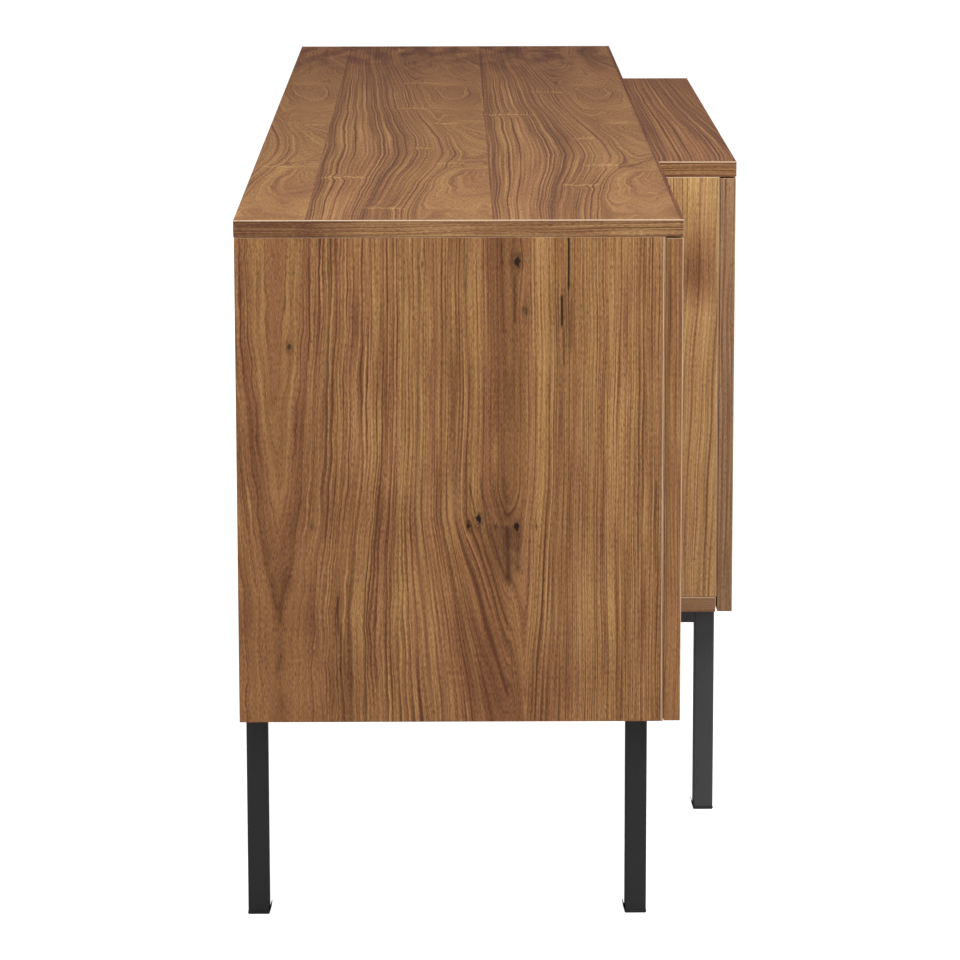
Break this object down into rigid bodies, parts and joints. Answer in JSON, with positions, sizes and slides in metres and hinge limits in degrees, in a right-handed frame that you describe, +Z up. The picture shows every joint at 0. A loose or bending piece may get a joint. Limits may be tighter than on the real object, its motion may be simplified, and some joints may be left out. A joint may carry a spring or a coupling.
{
  "type": "sideboard",
  "caption": "Low walnut sideboard whose centre stands forward, with flush push-to-open doors on linked hinges and black steel tube legs.",
  "frame": {"origin": "on the floor under the middle of the cabinet's box", "axes": "+X along the length, -Y out of the doors, +Z up"},
  "size_m": [1.8, 0.471, 0.6645],
  "materials": {
    "walnut": "satin lacquered walnut veneer on board",
    "walnut_inside": "satin walnut veneer inside the bays",
    "backing": "thin printed backing board",
    "black_steel": "black powder coat",
    "black_plastic": "moulded black plastic",
    "grey_plastic": "moulded grey plastic",
    "nickel": "nickel plated steel"
  },
  "bodies": {
    "carcass": {"top_panel": "walnut", "bottom_panel": "walnut", "left_end_panel": "walnut", "right_end_panel": "walnut", "left_divider": "walnut", "centre_partition": "walnut", "right_divider": "walnut", "back_panel": "backing", "left_shelf": "walnut_inside", "centre_left_shelf": "walnut_inside", "centre_right_shelf": "walnut_inside", "right_shelf": "walnut_inside", "left_end_frame": "black_steel", "right_end_frame": "black_steel", "left_centre_frame": "black_steel", "right_centre_frame": "black_steel", "left_front_glide": "black_plastic", "left_rear_glide": "black_plastic", "left_centre_glide": "black_plastic", "right_front_glide": "black_plastic", "right_rear_glide": "black_plastic", "right_centre_glide": "black_plastic", "left_lower_hinge_arm": "nickel", "left_upper_hinge_arm": "nickel", "left_latch_body": "grey_plastic", "centre_left_lower_hinge_arm": "nickel", "centre_left_upper_hinge_arm": "nickel", "centre_left_latch_body": "grey_plastic", "centre_right_lower_hinge_arm": "nickel", "centre_right_upper_hinge_arm": "nickel", "centre_right_latch_body": "grey_plastic", "right_lower_hinge_arm": "nickel", "right_upper_hinge_arm": "nickel", "right_latch_body": "grey_plastic"},
    "left_hinge_links": {"left_lower_hinge_link": "nickel", "left_upper_hinge_link": "nickel"},
    "left_door": {"left_door": "walnut", "left_lower_hinge_cup": "nickel", "left_upper_hinge_cup": "nickel"},
    "left_latch_plunger": {"left_latch_plunger": "grey_plastic"},
    "centre_left_hinge_links": {"centre_left_lower_hinge_link": "nickel", "centre_left_upper_hinge_link": "nickel"},
    "centre_left_door": {"centre_left_door": "walnut", "centre_left_lower_hinge_cup": "nickel", "centre_left_upper_hinge_cup": "nickel"},
    "centre_left_latch_plunger": {"centre_left_latch_plunger": "grey_plastic"},
    "centre_right_hinge_links": {"centre_right_lower_hinge_link": "nickel", "centre_right_upper_hinge_link": "nickel"},
    "centre_right_door": {"centre_right_door": "walnut", "centre_right_lower_hinge_cup": "nickel", "centre_right_upper_hinge_cup": "nickel"},
    "centre_right_latch_plunger": {"centre_right_latch_plunger": "grey_plastic"},
    "right_hinge_links": {"right_lower_hinge_link": "nickel", "right_upper_hinge_link": "nickel"},
    "right_door": {"right_door": "walnut", "right_lower_hinge_cup": "nickel", "right_upper_hinge_cup": "nickel"},
    "right_latch_plunger": {"right_latch_plunger": "grey_plastic"}
  },
  "joints": [
    {"name": "left_hinge_links_turn", "type": "hinge", "parent": "carcass", "child": "left_hinge_links", "pos_m": [-0.873, -0.151, 0.4305], "axis": [0, 0, 1], "range_deg": [0, 58]},
    {"name": "left_door_swing", "type": "hinge", "parent": "left_hinge_links", "child": "left_door", "pos_m": [-0.889, -0.1455, 0.4305], "axis": [0, 0, -1], "range_deg": [0, 153]},
    {"name": "left_latch_push", "type": "slide", "parent": "carcass", "child": "left_latch_plunger", "axis": [0, 1, 0], "range_m": [0, 0.004], "stiffness_N_per_m": 250},
    {"name": "centre_left_hinge_links_turn", "type": "hinge", "parent": "carcass", "child": "centre_left_hinge_links", "pos_m": [-0.418, -0.227, 0.4305], "axis": [0, 0, 1], "range_deg": [0, 58]},
    {"name": "centre_left_door_swing", "type": "hinge", "parent": "centre_left_hinge_links", "child": "centre_left_door", "pos_m": [-0.434, -0.2215, 0.4305], "axis": [0, 0, -1], "range_deg": [0, 153]},
    {"name": "centre_left_latch_push", "type": "slide", "parent": "carcass", "child": "centre_left_latch_plunger", "axis": [0, 1, 0], "range_m": [0, 0.004], "stiffness_N_per_m": 250},
    {"name": "centre_right_hinge_links_turn", "type": "hinge", "parent": "carcass", "child": "centre_right_hinge_links", "pos_m": [0.418, -0.227, 0.4305], "axis": [0, 0, -1], "range_deg": [0, 58]},
    {"name": "centre_right_door_swing", "type": "hinge", "parent": "centre_right_hinge_links", "child": "centre_right_door", "pos_m": [0.434, -0.2215, 0.4305], "axis": [0, 0, 1], "range_deg": [0, 153]},
    {"name": "centre_right_latch_push", "type": "slide", "parent": "carcass", "child": "centre_right_latch_plunger", "axis": [0, 1, 0], "range_m": [0, 0.004], "stiffness_N_per_m": 250},
    {"name": "right_hinge_links_turn", "type": "hinge", "parent": "carcass", "child": "right_hinge_links", "pos_m": [0.873, -0.151, 0.4305], "axis": [0, 0, -1], "range_deg": [0, 58]},
    {"name": "right_door_swing", "type": "hinge", "parent": "right_hinge_links", "child": "right_door", "pos_m": [0.889, -0.1455, 0.4305], "axis": [0, 0, 1], "range_deg": [0, 153]},
    {"name": "right_latch_push", "type": "slide", "parent": "carcass", "child": "right_latch_plunger", "axis": [0, 1, 0], "range_m": [0, 0.004], "stiffness_N_per_m": 250}
  ],
  "couplings": [
    {"joint": "left_hinge_links_turn", "follows": "left_door_swing", "ratio": 0.37908},
    {"joint": "centre_left_hinge_links_turn", "follows": "centre_left_door_swing", "ratio": 0.37908},
    {"joint": "centre_right_hinge_links_turn", "follows": "centre_right_door_swing", "ratio": 0.37908},
    {"joint": "right_hinge_links_turn", "follows": "right_door_swing", "ratio": 0.37908}
  ]
}
